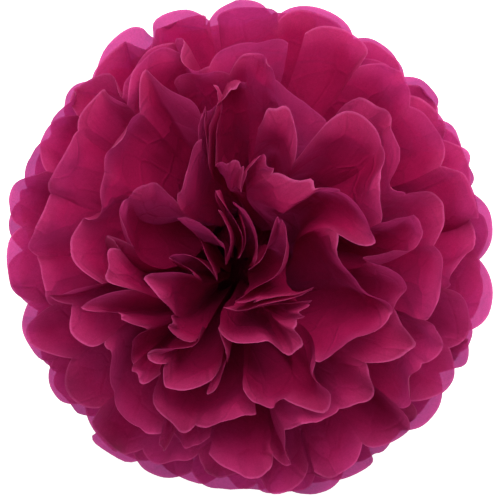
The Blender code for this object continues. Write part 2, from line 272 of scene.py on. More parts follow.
class TissueSettings(PropertyGroup):
    """Colours and finish of the tissue and of the wire's cover, and the painted highlight along the
    tissue's cut edge.
    """

    front: FloatVectorProperty(name="Paper", description="Colour of the tissue in reflected light",
                               default=(0.28, 0.004, 0.053), size=3, subtype="COLOR", min=0.0, max=1.0)
    # Painted highlight: a paler colour along the cut edge, standing for light caught on the thin rim and
    # coming through it.
    painted_edge_highlight: FloatVectorProperty(name="Painted Edge Highlight", description="Painted highlight: paler colour along the tissue's cut edge",
                              default=(0.60, 0.085, 0.26), size=3, subtype="COLOR", min=0.0, max=1.0)
    through: FloatVectorProperty(name="Light Through", description="Colour of light that comes through",
                                 default=(0.57, 0.036, 0.21), size=3, subtype="COLOR", min=0.0, max=1.0)
    share_through: FloatProperty(name="Share Through", description="Share of the light that passes through",
                                 default=0.36, min=0.0, max=1.0, subtype="FACTOR")
    clear: FloatVectorProperty(name="Seen Through", description="Tint of what is seen through one sheet",
                               default=(0.92, 0.24, 0.80), size=3, subtype="COLOR", min=0.0, max=1.0)
    share_clear: FloatProperty(name="Share Clear", description="Share of the view that passes through",
                               default=0.13, min=0.0, max=1.0, subtype="FACTOR")
    roughness: FloatProperty(name="Roughness", description="Roughness of the matt tissue",
                             default=0.82, min=0.0, max=1.0, subtype="FACTOR")
    wire_cover: FloatVectorProperty(name="Wire Cover", description="Colour of the paper wound on the wire",
                                    default=(0.36, 0.02, 0.11), size=3, subtype="COLOR", min=0.0, max=1.0)


class StageSettings(PropertyGroup):
    """Floor, light and camera."""

    floor: FloatVectorProperty(name="Floor", description="Colour of the floor", default=(0.86, 0.86, 0.86),
                               size=3, subtype="COLOR", min=0.0, max=1.0)
    key_power: FloatProperty(name="Key Power", description="Power of the main soft light", default=38.5,
                             unit="POWER", min=0.0)
    fill_power: FloatProperty(name="Fill Power", description="Power of the fill light", default=7.0,
                              unit="POWER", min=0.0)
    sky: FloatProperty(name="Room Light", description="Strength of the even light of the room",
                       default=0.27, min=0.0)
    tilt: FloatProperty(name="Camera Tilt", description="Lean of the camera off the flower's axis",
                        default=math.radians(10.0), unit="ROTATION", subtype="ANGLE")
    camera_distance: FloatProperty(name="Camera Distance", description="Distance from the ball's middle",
                                   default=1.3, unit="LENGTH", subtype="DISTANCE")
    ball_share: FloatProperty(name="Ball Share", description="Width of the frame in widths of the ball",
                              default=1.0, min=0.5, max=2.0)


class FoldNet:
    """The fold and middle lines of every sheet, as azimuths and polar angles row by row.

    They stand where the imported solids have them: the same pleats are closed or
    open, and the same pass keeps neighbouring sheets apart. Sheets are counted
    from the heart above to the heart below.
    """

    def __init__(self, pleats, pleat_width, strip_length, each_way):
        self.pleats = pleats
        self.width = pleat_width
        self.reach = strip_length / 2
        self.each_way = each_way
        self.count = 2 * each_way
        self.lines = 2 * self.pleats + 1
        self.rows = self.reach * NET_ROWS

    def mean_angle(self, index):
        """Polar angle at which a sheet stands on average, counted from the upper heart."""
        share = min(index, self.count - 1 - index) / max(self.each_way - 1, 1)
        angle = HEART_ANGLE + (EQUATOR_ANGLE - HEART_ANGLE) * (1 - (1 - share) ** ANGLE_SPACING)
        return angle if index < self.each_way else math.pi - angle

    def pleat_widths(self, rng, mean):
        """Widths of the pleats round the ball, in average pleats: open ones and closed ones."""
        average = self.reach * math.sin(mean) * math.pi / self.pleats
        widest = max(min(OPEN_SHARE * self.width / average, WIDEST_OPEN), WIDTH_WHERE_ALL_OPEN)
        closed = max(CLOSED_SHARE, CLOSED_WIDTH / average)
        opened = min(round(self.pleats * (1 - closed) / (WIDTH_OPENED * widest - closed)), self.pleats)
        kinds = [True] * opened + [False] * (self.pleats - opened)
        rng.shuffle(kinds)
        widths = (widest * rng.uniform(*OPEN_VARIES) if kind else closed * rng.uniform(*CLOSED_VARIES)
                  for kind in kinds)
        width = np.array(list(widths))
        for _ in range(WIDTH_ROUNDS):
            width = np.clip(width * self.pleats / width.sum(), CLOSED_VARIES[0] * closed, widest)
        return width * self.pleats / width.sum()

    def placed_lines(self, widths, low, high):
        """Azimuths of the fold and middle lines for pleats of the given widths."""
        edges = np.concatenate([[0.0], np.cumsum(widths)])
        line = np.empty(self.lines)
        line[0::2] = edges
        line[1::2] = (edges[1:] + edges[:-1]) / 2
        return low + (high - low) * line / self.pleats

    def fan_lines(self, rng, mean, start_turn, end_turn):
        """Azimuth and polar angle of the fold and middle lines of one fan, row by row."""
        free = ease((self.rows[:, None] / self.reach - FREE_FROM) / FREE_OVER)
        tip = np.clip((self.rows[:, None] / self.reach - TIP_FROM) / (1 - TIP_FROM), 0, FURTHEST_TIP) ** 2
        low, high = SLIT_ANGLE - math.pi / 2, math.pi / 2 - SLIT_ANGLE
        widths = self.pleat_widths(rng, mean)
        tip_widths = KEPT_WIDTH * widths + (1 - KEPT_WIDTH) * self.pleat_widths(rng, mean)
        opened = self.placed_lines(widths, low + start_turn, high + end_turn)
        opened_tip = self.placed_lines(tip_widths, low + start_turn, high + end_turn)
        low, high = low + SWING_AT_TIE * start_turn, high + SWING_AT_TIE * end_turn
        tied = self.placed_lines(np.ones(self.pleats), low, high)
        phi = tied + (opened + (opened_tip - opened) * tip - tied) * free

        chord = self.rows[:, None] * math.sin(mean) * (phi[:, 2::2] - phi[:, 0:-2:2])
        rise = np.sqrt(np.maximum(self.width**2 - chord**2, (SMALLEST_RISE * self.width) ** 2)) / 2
        height = np.empty((len(self.rows), self.pleats + 1))
        height[:, 1:-1] = (rise[:, 1:] + rise[:, :-1]) / 2
        height[:, 0], height[:, -1] = rise[:, 0], rise[:, -1]
        largest = min(LARGEST_FOLD, LARGEST_FOLD_SHARE * min(mean, math.pi - mean))
        radius = np.maximum(self.rows, LEAST_ROW)[:, None]
        swing = largest * np.tanh(height / radius / largest)
        swing *= ease((self.rows[:, None] / self.reach - FOLD_FROM) / FOLD_OVER)
        turn = np.array([1 if i % 2 else -1 for i in range(self.pleats + 1)])
        depth = 1 - math.sin(mean)
        least, most = (a + (b - a) * depth for a, b in zip(CREASE_VARIES, CREASE_AT_HEART))
        crease = np.array([rng.uniform(least, most) for _ in range(self.pleats + 1)])
        beside = np.concatenate([widths[:1], (widths[1:] + widths[:-1]) / 2, widths[-1:]])
        crease *= np.minimum(TUCK_DEPTH + (1 - TUCK_DEPTH) * beside, 1)
        lift = np.array([rng.uniform(-1, 1) * FOLD_WANDER for _ in range(self.pleats + 1)])
        folds = mean + turn * swing * (1 + (crease - 1) * free) + lift * free

        straight = np.hypot(chord, radius * (folds[:, 1:] - folds[:, :-1]))
        spare = np.clip(self.width - straight, 0, MOST_SPARE * self.width)
        sag = np.sqrt(ARC_RISE * spare * np.maximum(straight, LEAST_STRAIGHT * self.width)) / radius
        outward = 1 if mean < math.pi / 2 else -1
        bow = np.array([rng.uniform(*BOW_VARIES) for _ in range(self.pleats)]) * outward
        theta = np.empty((len(self.rows), self.lines))
        theta[:, 0::2] = folds
        theta[:, 1::2] = (folds[:, 1:] + folds[:, :-1]) / 2 + bow * np.minimum(sag, PETAL_CURL) * free
        depth_of_drift = DRIFT_AT_HEART + (1 - DRIFT_AT_HEART) * math.sin(mean)
        for waves in (1, 2, 3):
            start = rng.uniform(0, 2 * math.pi)
            theta += DRIFT / waves * np.sin(waves * phi + start) * depth_of_drift * free
        curl = np.array([rng.uniform(-1, 1) for _ in range(self.lines)])
        curl[0::2] *= FOLD_CURL * PETAL_CURL
        curl[1::2] = (curl[1::2] + OUTWARD_CURL * outward) * PETAL_CURL
        return phi, theta + curl * tip

    def lay_out_sheets(self):
        """Fold nets of all the sheets, from the upper heart to the lower one."""
        sheets = []
        for index in range(self.count):
            rng = random.Random(SEED * SEED_SCALE + index * SEED_STEP)
            mean = self.mean_angle(index)
            swing = SLIT_SWING * (1 if index % 2 else -1) * rng.uniform(*SWING_VARIES)
            start, end = swing * rng.uniform(*EDGE_VARIES), swing * rng.uniform(*EDGE_VARIES)
            phis, thetas, lengths = [], [], []
            for side in (1, -1):
                phi, theta = self.fan_lines(rng, mean, side * start, side * end)
                spread = LENGTH_SPREAD * self.reach
                length = np.array([rng.uniform(*LENGTH_VARIES) * spread for _ in range(self.pleats)])
                if side < 0:
                    phi, theta, length = (math.pi - phi)[:, ::-1], theta[:, ::-1], length[::-1]
                phis.append(phi)
                thetas.append(theta)
                lengths.append(length)
            reach = self.reach * (1 - HEART_SHORTER * abs(math.cos(mean)))
            sheets.append({"index": index, "reach": reach, "lengths": lengths,
                           "phi": np.concatenate(phis, axis=1), "theta": np.concatenate(thetas, axis=1)})
        self.push_apart(sheets)
        return sheets

    def places_on_rows(self, sheets, samples):
        """Where each sample azimuth falls on each sheet's lines, on the rows and between them."""
        grid = np.linspace(0, 2 * math.pi, samples, endpoint=False)
        levels = [(k, part) for k in range(1, len(self.rows) - 1) for part in PARTS_OF_ROW]
        levels.append((len(self.rows) - 2, 1.0))
        count = sheets[0]["phi"].shape[1]
        left = np.empty((len(sheets), len(levels), samples), int)
        share = np.empty((len(sheets), len(levels), samples))
        for s, sheet in enumerate(sheets):
            for c, (k, part) in enumerate(levels):
                line = sheet["phi"][k] * (1 - part) + sheet["phi"][k + 1] * part
                closed = np.append(line, line[0] + 2 * math.pi)
                at = np.mod(grid - line[0], 2 * math.pi) + line[0]
                i = np.clip(np.searchsorted(closed, at, side="right") - 1, 0, count - 1)
                left[s, c] = i
                share[s, c] = (at - closed[i]) / np.maximum(closed[i + 1] - closed[i], 1e-9)
        return levels, left, (left + 1) % count, share

    def push_apart(self, sheets):
        """Moves neighbouring sheets apart in polar angle wherever their folds would cross."""
        levels, left, right, share = self.places_on_rows(sheets, PUSH_SAMPLES)
        low = np.array([k for k, part in levels])[:, None]
        part = np.array([part for k, part in levels])[:, None]
        theta = np.stack([sheet["theta"] for sheet in sheets])
        at = self.rows[low] * (1 - part) + self.rows[low + 1] * part
        need = CLEAR_ANGLE + CLEAR_SHEETS * SOLID_THICKNESS / at
        moves = PUSH_STEP * (at > PUSH_FROM * self.reach)
        for _ in range(PUSH_ROUNDS):
            for s in range(len(sheets) - 1):
                weights = []
                angles = []
                for t in (s, s + 1):
                    corners = [(low, left[t], (1 - part) * (1 - share[t])),
                               (low, right[t], (1 - part) * share[t]),
                               (low + 1, left[t], part * (1 - share[t])),
                               (low + 1, right[t], part * share[t])]
                    weights.append(corners)
                    angles.append(sum(theta[t][row, line] * weight for row, line, weight in corners))
                crowded = 1 + CLEAR_HEART * math.cos((self.mean_angle(s) + self.mean_angle(s + 1)) / 2) ** 2
                short = np.maximum(need * crowded - (angles[1] - angles[0]), 0) * moves
                for t, corners, way in ((s, weights[0], -1), (s + 1, weights[1], 1)):
                    push = np.zeros_like(theta[t])
                    for row, line, weight in corners:
                        rows = np.broadcast_to(row, line.shape)
                        np.maximum.at(push, (rows, line), short * weight)
                    theta[t] += way * push
            for fan in (0, self.lines):
                folds = theta[:, :STRAIGHT_ROWS, fan:fan + self.lines:2]
                halfway = (folds[:, :, 1:] + folds[:, :, :-1]) / 2
                theta[:, :STRAIGHT_ROWS, fan + 1:fan + self.lines:2] = halfway
            theta = np.clip(theta, math.pi / 2 - LARGEST_LEAN, math.pi / 2 + LARGEST_LEAN)
        for s, sheet in enumerate(sheets):
            sheet["theta"] = theta[s]

    def twisted(self, points):
        """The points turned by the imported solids' slow twists, then by whirls and crumples."""
        rng = random.Random(SEED)
        caps = []
        for _ in range(TWISTS):
            axis = np.array([rng.gauss(0, 1) for _ in range(3)])
            axis /= np.linalg.norm(axis)
            size = rng.uniform(*TWIST_SIZES)
            caps.append((axis, size, rng.choice((-1, 1)) * rng.uniform(*TWIST_VARIES) * TWIST_ANGLE))
        return self.turned(points, caps + self.whirls() + self.crumples())

    def whirls(self):
        """Caps of the ball, near the hearts, that turn further than the others."""
        rng = random.Random(WHIRL_SEED)
        caps = []
        for pole in (1, -1):
            around = rng.uniform(0, 2 * math.pi)
            for k in range(WHIRLS):
                tilt, at = rng.uniform(*WHIRL_TILTS), around + 2 * math.pi * k / WHIRLS
                off = math.sin(tilt)
                axis = np.array([off * math.cos(at), off * math.sin(at), pole * math.cos(tilt)])
                size = rng.uniform(*WHIRL_SIZES)
                caps.append((axis, size, rng.choice((-1, 1)) * rng.uniform(*WHIRL_TURNS)))
        return caps

    def crumples(self):
        """Small caps all round the ball."""
        rng = random.Random(WHIRL_SEED + 1)
        caps = []
        for _ in range(CRUMPLES):
            axis = np.array([rng.gauss(0, 1) for _ in range(3)])
            size = rng.uniform(*CRUMPLE_SIZES)
            turn = rng.choice((-1, 1)) * rng.uniform(*CRUMPLE_TURNS)
            caps.append((axis / np.linalg.norm(axis), size, turn))
        return caps

    def turned(self, points, caps):
        """The points after each cap has turned about its own axis.

        A turn keeps every distance from the tie, so sheets that lie apart stay apart.
        """
        moved = points.copy()
        distance = np.linalg.norm(points, axis=1)
        growth = ease((distance / self.reach - TWIST_FROM) / TWIST_OVER)
        for axis, size, turn in caps:
            along = moved @ axis
            off = np.arccos(np.clip(along / np.maximum(distance, 1e-9), -1, 1))
            angle = turn * growth * np.clip(1 - (off / size) ** 2, 0, 1) ** 2
            c, s = np.cos(angle)[:, None], np.sin(angle)[:, None]
            moved = moved * c + np.cross(axis, moved) * s + np.outer(along, axis) * (1 - c)
        return moved


def random_lattice(u, v, seed, size):
    """Place of each point in its cell of a lattice, and the random values at the cell's corners."""
    table = np.random.default_rng(seed).uniform(-1, 1, (LATTICE, LATTICE))
    x, y = u / size + LATTICE / 4, v / size + LATTICE / 4
    i, j = np.floor(x).astype(int), np.floor(y).astype(int)
    left, right, low, high = i % LATTICE, (i + 1) % LATTICE, j % LATTICE, (j + 1) % LATTICE
    corners = table[left, low], table[right, low], table[left, high], table[right, high]
    return x - i, y - j, corners


def soft_noise(u, v, seed, size):
    """Smooth random field from -1 to 1 with lumps of about one size."""
    x, y, (a, b, c, d) = random_lattice(u, v, seed, size)
    x, y = ease(x), ease(y)
    return (a * (1 - x) + b * x) * (1 - y) + (c * (1 - x) + d * x) * y


def creased_noise(u, v, seed, size):
    """Random field from -1 to 1 of flat facets, with straight creases between them."""
    (uu, uv), (vu, vv) = FACET_SLANTS
    x, y, (a, b, c, d) = random_lattice(uu * u + uv * v, vv * v + vu * u, seed, size)
    return np.where(x + y < 1, a + (b - a) * x + (c - a) * y, d + (c - d) * (1 - x) + (b - d) * (1 - y))


class Tissue:
    """One sheet's fine surface over its fold net."""

    def __init__(self, net, sheet, paper):
        self.net, self.sheet, self.paper = net, sheet, paper
        self.pleats = net.pleats
        columns = paper.columns
        m = np.arange(self.pleats * columns + 1)
        self.pleat = np.minimum(m // columns, self.pleats - 1)
        even = (m - self.pleat * columns) / columns
        self.share = 0.5 - 0.5 * np.cos(math.pi * even)
        self.seed = sheet["index"] * NOISE_STEP
        self.mean = net.mean_angle(sheet["index"])
        self.steep = math.cos(self.mean) ** 2

    def by_steepness(self, values):
        """The value for this sheet, between one for the equator and one for the heart."""
        return values[0] + (values[1] - values[0]) * self.steep

    def rim(self, fan):
        """Reach of the cut end at every column: rounded ends, cut by hand."""
        rng = np.random.default_rng(self.seed + RIM_DRAWS + fan)
        lengths = self.sheet["lengths"][fan]
        own = lengths[self.pleat]
        before = lengths[np.maximum(self.pleat - 1, 0)]
        after = lengths[np.minimum(self.pleat + 1, self.pleats - 1)]
        beside = np.where(self.share < 0.5, before, after)
        x = 2 * self.share - 1
        skew = rng.uniform(-CUT_SKEW, CUT_SKEW, self.pleats)[self.pleat]
        off = np.abs(x + skew * (1 - x**2))
        cut = self.paper.end_notch * self.by_steepness(NOTCH_SHARES) * off ** END_ROUNDNESS
        return self.sheet["reach"] + own + (beside - own) * 0.5 * x**2 - cut

    def along(self, values, line, low, part):
        """Smooth curve through a line's rows at each vertex."""
        last = len(NET_ROWS) - 1
        column = np.broadcast_to(line[None, :], low.shape)
        a = values[np.maximum(low - 1, 0), column]
        b = values[low, column]
        c = values[low + 1, column]
        d = values[np.minimum(low + 2, last), column]
        x = NET_ROWS
        hb = x[low + 1] - x[low]
        ha = x[low] - x[np.maximum(low - 1, 0)]
        hc = x[np.minimum(low + 2, last)] - x[low + 1]
        slope_b = np.where(ha > 0, (c - a) / (ha + hb), (c - b) / hb)
        slope_c = np.where(hc > 0, (d - b) / (hb + hc), (c - b) / hb)
        t = part
        return ((2 * t**3 - 3 * t**2 + 1) * b + (t**3 - 2 * t**2 + t) * hb * slope_b
                + (3 * t**2 - 2 * t**3) * c + (t**3 - t**2) * hb * slope_c)

    def folded(self, fan, r):
        """Azimuth and polar angle of the folded fan at each vertex."""
        net, sheet = self.net, self.sheet
        at = np.interp(r / net.reach, NET_ROWS, np.arange(len(NET_ROWS)))
        low = np.minimum(np.floor(at).astype(int), len(NET_ROWS) - 2)
        first = fan * net.lines + 2 * self.pleat
        share = np.broadcast_to(self.share[None, :], r.shape)
        rng = np.random.default_rng(self.seed + CREST_DRAWS + fan)
        crest = rng.uniform(*CREST_VARIES, self.pleats)[self.pleat][None, :]
        tent = np.where(share < crest, share / crest, (1 - share) / (1 - crest))
        bowed = 4 * share * (1 - share)
        creased = rng.uniform(*CREASED_VARIES, self.pleats)[self.pleat][None, :]
        bulge = (1 - creased) * bowed + creased * tent
        soft = FOLD_SOFTNESS[0] + FOLD_SOFTNESS[1] * np.clip(r / net.reach, 0, 1)
        turned = share + soft * (ease(share) - share)
        a, m, b = (self.along(sheet["theta"], first + k, low, at - low) for k in range(3))
        theta = a + (b - a) * turned + (m - (a + b) / 2) * bulge
        a, m, b = (self.along(sheet["phi"], first + k, low, at - low) for k in range(3))
        phi = a + (b - a) * share + (m - (a + b) / 2) * bowed
        middle = fan * math.pi
        return middle + (phi - middle) * (1 + SLIT_LAP * self.steep), theta

    def crumpled(self, fan, r, u):
        """Change in polar angle from the waved rim, the facets and the gathers at the tie."""
        reach, seed = self.net.reach, self.seed + fan
        near_rim = np.clip((r / reach - WAVED_FROM) / (1 - WAVED_FROM), 0, 1) ** 2
        flutter = soft_noise(u, r * FLUTTER_STRETCH, seed + 1, FLUTTER_SIZE)
        flutter += FINE_FLUTTER * soft_noise(u, r, seed + 2, FLUTTER_SIZE / 2)
        facets = creased_noise(u, r, seed + 3, FACET_SIZE)
        facets += FINE_FACETS * creased_noise(r, u, seed + 4, FACET_SIZE / 2)
        gathers = soft_noise(u, r * GATHER_STRETCH, seed + 5, GATHER_SIZE)
        waves = soft_noise(u, r * WAVE_STRETCH, seed + 6, WAVE_SIZE)
        lift = self.paper.crumple * (facets + WAVE_SHARE * waves) * ease(r / (CRUMPLED_BY * reach))
        lift += GATHER_HEIGHT * gathers * ease(r / (GATHERED_BY * reach))
        return self.paper.flutter * flutter * near_rim + lift / np.maximum(r, LEAST_RADIUS)

    def curled(self, r, theta, rng):
        """Distance and polar angle after some petals' tips have turned over."""
        curled = rng.random(self.pleats) < self.by_steepness(CURLED_SHARES)
        turns = rng.uniform(*CURL_TURNS, self.pleats) * self.by_steepness(CURL_GAINS)
        amount = np.where(curled, turns, UNCURLED_TURN)
        outward = 1 if self.mean < math.pi / 2 else -1
        amount *= np.where(rng.random(self.pleats) < self.by_steepness(CURLED_OUTWARD), outward, -outward)
        across = (4 * self.share * (1 - self.share)) ** self.by_steepness(CURL_POWERS)
        start = self.by_steepness(CURLED_FROM) * self.net.reach
        past = np.maximum(r - start, 0)
        turned = (amount[self.pleat] * across)[None, :] * past / (self.net.reach - start)
        theta = theta + past * np.sin(turned / 2) / np.maximum(r, LEAST_RADIUS)
        return r - past * (1 - np.cos(turned / 2)), theta

    def fan_points(self, fan):
        """Vertices of one fan, row by row, and their places on the flat sheet and from the rim."""
        net = self.net
        rest = np.linspace(STEPS_AT_TIE[-1], 1, self.paper.rows - len(STEPS_AT_TIE) + 2)
        steps = np.append(STEPS_AT_TIE, rest[1:])
        rim = self.rim(fan)
        v = steps[:, None] * rim[None, :]
        u = np.broadcast_to((self.pleat + self.share)[None, :] * net.width, v.shape)
        phi, theta = self.folded(fan, v)
        theta = theta + self.crumpled(fan, v, u)
        r, theta = self.curled(v, theta, np.random.default_rng(self.seed + TIP_DRAWS + fan))

        shut_by = SLIT_SHUT_BY + (BEND_REACH - SLIT_SHUT_BY) * math.sin(self.mean) ** 4
        bent = ease(r / BEND_REACH)
        theta = math.pi / 2 - (math.pi / 2 - theta) * bent**BEND_POWER
        side = 1 if fan == 0 else -1
        across = (self.pleat + self.share) / self.pleats - 0.5
        x = side * BAND_LENGTH / 2 * (1 - ease(r / shut_by)) + r * np.sin(theta) * np.cos(phi)
        y = side * BAND_WIDTH * across[None, :] + r * np.sin(theta) * np.sin(phi)
        level = net.each_way - self.sheet["index"] - 0.5
        z = level * (SOLID_THICKNESS + SOLID_SPACE) + r * np.cos(theta)
        points = np.stack([x, y, z], axis=2)
        along_sheet = u if fan == 0 else net.pleats * net.width - u
        flat = np.stack([side * (v + BAND_LENGTH / 2), along_sheet], axis=2)
        trim = np.stack([rim[None, :] - v, np.broadcast_to(self.share, v.shape)], axis=2)
        return points.reshape(-1, 3), flat.reshape(-1, 2), trim.reshape(-1, 2)

    def mesh(self, name):
        """The whole sheet: two fans and the band under the wire."""
        columns, rows = len(self.pleat), self.paper.rows
        points, flat, trim = (np.concatenate(pair) for pair in zip(self.fan_points(0), self.fan_points(1)))
        points = self.net.twisted(points)
        faces = []
        for fan in (0, 1):
            base = fan * (rows + 1) * columns
            a = (np.arange(rows)[:, None] * columns + np.arange(columns - 1)[None, :]).ravel() + base
            faces.append(np.stack([a, a + 1, a + columns + 1, a + columns], axis=1))
        a = np.arange(columns - 1)
        other = (rows + 1) * columns + (columns - 1 - a)
        faces.append(np.stack([a, other, other - 1, a + 1], axis=1))
        faces = np.concatenate(faces)
        mesh = bpy.data.meshes.new(name)
        mesh.from_pydata(points.tolist(), [], faces.tolist())
        order = np.empty(len(mesh.loops), dtype=np.int64)
        mesh.loops.foreach_get("vertex_index", order)
        for title, values in (("flat_sheet", flat * UV_UNITS), ("cut_edge", trim * (RIM_UNITS, 1))):
            layer = mesh.uv_layers.new(name=title)
            layer.data.foreach_set("uv", values[order].astype(np.float32).ravel())
        mesh.shade_smooth()
        return mesh


def link(nodes, source, target):
    """Joins an output to an input."""
    nodes.links.new(source, target)


def fibre_group():
    """Shader group of pressed paper fibres: uneven dye, fine fibres and their height."""
    group = bpy.data.node_groups.get("paper_fibres")
    if group:
        return group
    group = bpy.data.node_groups.new("paper_fibres", "ShaderNodeTree")
    made = group.interface.new_socket
    made(name="Vector", in_out="INPUT", socket_type="NodeSocketVector")
    made(name="Dye", in_out="INPUT", socket_type="NodeSocketColor")
    made(name="Cloud Scale", in_out="INPUT", socket_type="NodeSocketFloat").default_value = 60.0
    made(name="Cloud Strength", in_out="INPUT", socket_type="NodeSocketFloat").default_value = 0.12
    made(name="Fibre Scale", in_out="INPUT", socket_type="NodeSocketFloat").default_value = 900.0
    made(name="Fibre Strength", in_out="INPUT", socket_type="NodeSocketFloat").default_value = 0.10
    made(name="Colour", in_out="OUTPUT", socket_type="NodeSocketColor")
    made(name="Height", in_out="OUTPUT", socket_type="NodeSocketFloat")
    put = group.nodes.new
    start, end = put("NodeGroupInput"), put("NodeGroupOutput")
    cloud, fibre = put("ShaderNodeTexNoise"), put("ShaderNodeTexNoise")
    cloud.inputs["Detail"].default_value = 4.0
    cloud.inputs["Roughness"].default_value = 0.6
    fibre.inputs["Detail"].default_value = 3.0
    fibre.inputs["Roughness"].default_value = 0.7
    fibre.inputs["Distortion"].default_value = 1.5
    for noise, scale in ((cloud, "Cloud Scale"), (fibre, "Fibre Scale")):
        link(group, start.outputs["Vector"], noise.inputs["Vector"])
        link(group, start.outputs[scale], noise.inputs["Scale"])
    levels = []
    for noise, strength in ((cloud, "Cloud Strength"), (fibre, "Fibre Strength")):
        centred = put("ShaderNodeMath")
        centred.operation = "SUBTRACT"
        link(group, noise.outputs["Fac"], centred.inputs[0])
        centred.inputs[1].default_value = 0.5
        scaled = put("ShaderNodeMath")
        scaled.operation = "MULTIPLY"
        link(group, centred.outputs[0], scaled.inputs[0])
        link(group, start.outputs[strength], scaled.inputs[1])
        levels.append(scaled)
    total = put("ShaderNodeMath")
    total.operation = "ADD"
    link(group, levels[0].outputs[0], total.inputs[0])
    link(group, levels[1].outputs[0], total.inputs[1])
    factor = put("ShaderNodeMath")
    factor.operation = "MULTIPLY_ADD"
    link(group, total.outputs[0], factor.inputs[0])
    factor.inputs[1].default_value = 2.0
    factor.inputs[2].default_value = 1.0
    dyed = put("ShaderNodeVectorMath")
    dyed.operation = "SCALE"
    link(group, start.outputs["Dye"], dyed.inputs[0])
    link(group, factor.outputs[0], dyed.inputs["Scale"])
    link(group, dyed.outputs["Vector"], end.inputs["Colour"])
    link(group, fibre.outputs["Fac"], end.inputs["Height"])
    return group


def paper_fibres(tree, vector, colour, **values):
    """A fibre group placed in a material with its own values."""
    node = tree.nodes.new("ShaderNodeGroup")
    node.node_tree = fibre_group()
    link(tree, vector, node.inputs["Vector"])
    if isinstance(colour, bpy.types.NodeSocket):
        link(tree, colour, node.inputs["Dye"])
    else:
        node.inputs["Dye"].default_value = (*colour, 1.0)
    for title, value in values.items():
        node.inputs[title.replace("_", " ").title()].default_value = value
    return node


def tissue_colour_with_painted_highlight(tree, look):
    """Colour of the tissue with a painted highlight: paler towards the cut edge and on a narrow band right
    at it, standing for light caught on the thin rim and coming through it.
    """
    put = tree.nodes.new
    place = put("ShaderNodeUVMap")
    place.uv_map = "cut_edge"
    split = put("ShaderNodeSeparateXYZ")
    link(tree, place.outputs["UV"], split.inputs[0])
    masks = []
    # Each band is painted highlight, fading inwards from the cut edge.
    for width, strength in PAINTED_HIGHLIGHT_BANDS:
        mask = put("ShaderNodeMapRange")
        mask.interpolation_type = "SMOOTHSTEP"
        mask.inputs["From Max"].default_value = width
        mask.inputs["To Min"].default_value = strength
        mask.inputs["To Max"].default_value = 0.0
        link(tree, split.outputs["X"], mask.inputs["Value"])
        masks.append(mask)
    most = put("ShaderNodeMath")
    most.operation = "MAXIMUM"
    for mask, socket in zip(masks, most.inputs):
        link(tree, mask.outputs["Result"], socket)
    mixed = put("ShaderNodeMix")
    mixed.data_type = "RGBA"
    mixed.inputs["A"].default_value = (*look.front, 1.0)
    mixed.inputs["B"].default_value = (*look.painted_edge_highlight, 1.0)
    link(tree, most.outputs[0], mixed.inputs["Factor"])
    return mixed.outputs["Result"]


def crease_lines(tree, flat):
    """Height of the straight creases left in the sheet by its folding and handling."""
    put = tree.nodes.new
    cells = put("ShaderNodeTexVoronoi")
    cells.feature = "DISTANCE_TO_EDGE"
    cells.inputs["Scale"].default_value = CREASE_CELLS
    link(tree, flat, cells.inputs["Vector"])
    line = put("ShaderNodeMapRange")
    line.inputs["From Max"].default_value = CREASE_WIDTH
    line.inputs["To Max"].default_value = CREASE_HEIGHT
    link(tree, cells.outputs["Distance"], line.inputs["Value"])
    return line.outputs["Result"]


def tissue_normal(tree, fibre_height):
    """Normal of the tissue, from its fibres, the streaks along the pleats and the creases."""
    put = tree.nodes.new
    flat = put("ShaderNodeUVMap")
    flat.uv_map = "flat_sheet"
    squeezed = put("ShaderNodeMapping")
    squeezed.inputs["Scale"].default_value = STREAK_SCALES
    link(tree, flat.outputs["UV"], squeezed.inputs["Vector"])
    streaks = put("ShaderNodeTexNoise")
    streaks.inputs["Scale"].default_value = 1.0
    streaks.inputs["Detail"].default_value = 3.0
    link(tree, squeezed.outputs["Vector"], streaks.inputs["Vector"])
    streaked = put("ShaderNodeMath")
    streaked.operation = "MULTIPLY_ADD"
    streaked.inputs[1].default_value = STREAK_HEIGHT
    link(tree, streaks.outputs["Fac"], streaked.inputs[0])
    link(tree, fibre_height, streaked.inputs[2])
    creased = put("ShaderNodeMath")
    creased.operation = "ADD"
    link(tree, streaked.outputs[0], creased.inputs[0])
    link(tree, crease_lines(tree, flat.outputs["UV"]), creased.inputs[1])
    bump = put("ShaderNodeBump")
    bump.inputs["Strength"].default_value = 0.4
    bump.inputs["Distance"].default_value = 0.0008
    link(tree, creased.outputs[0], bump.inputs["Height"])
    return bump.outputs["Normal"]


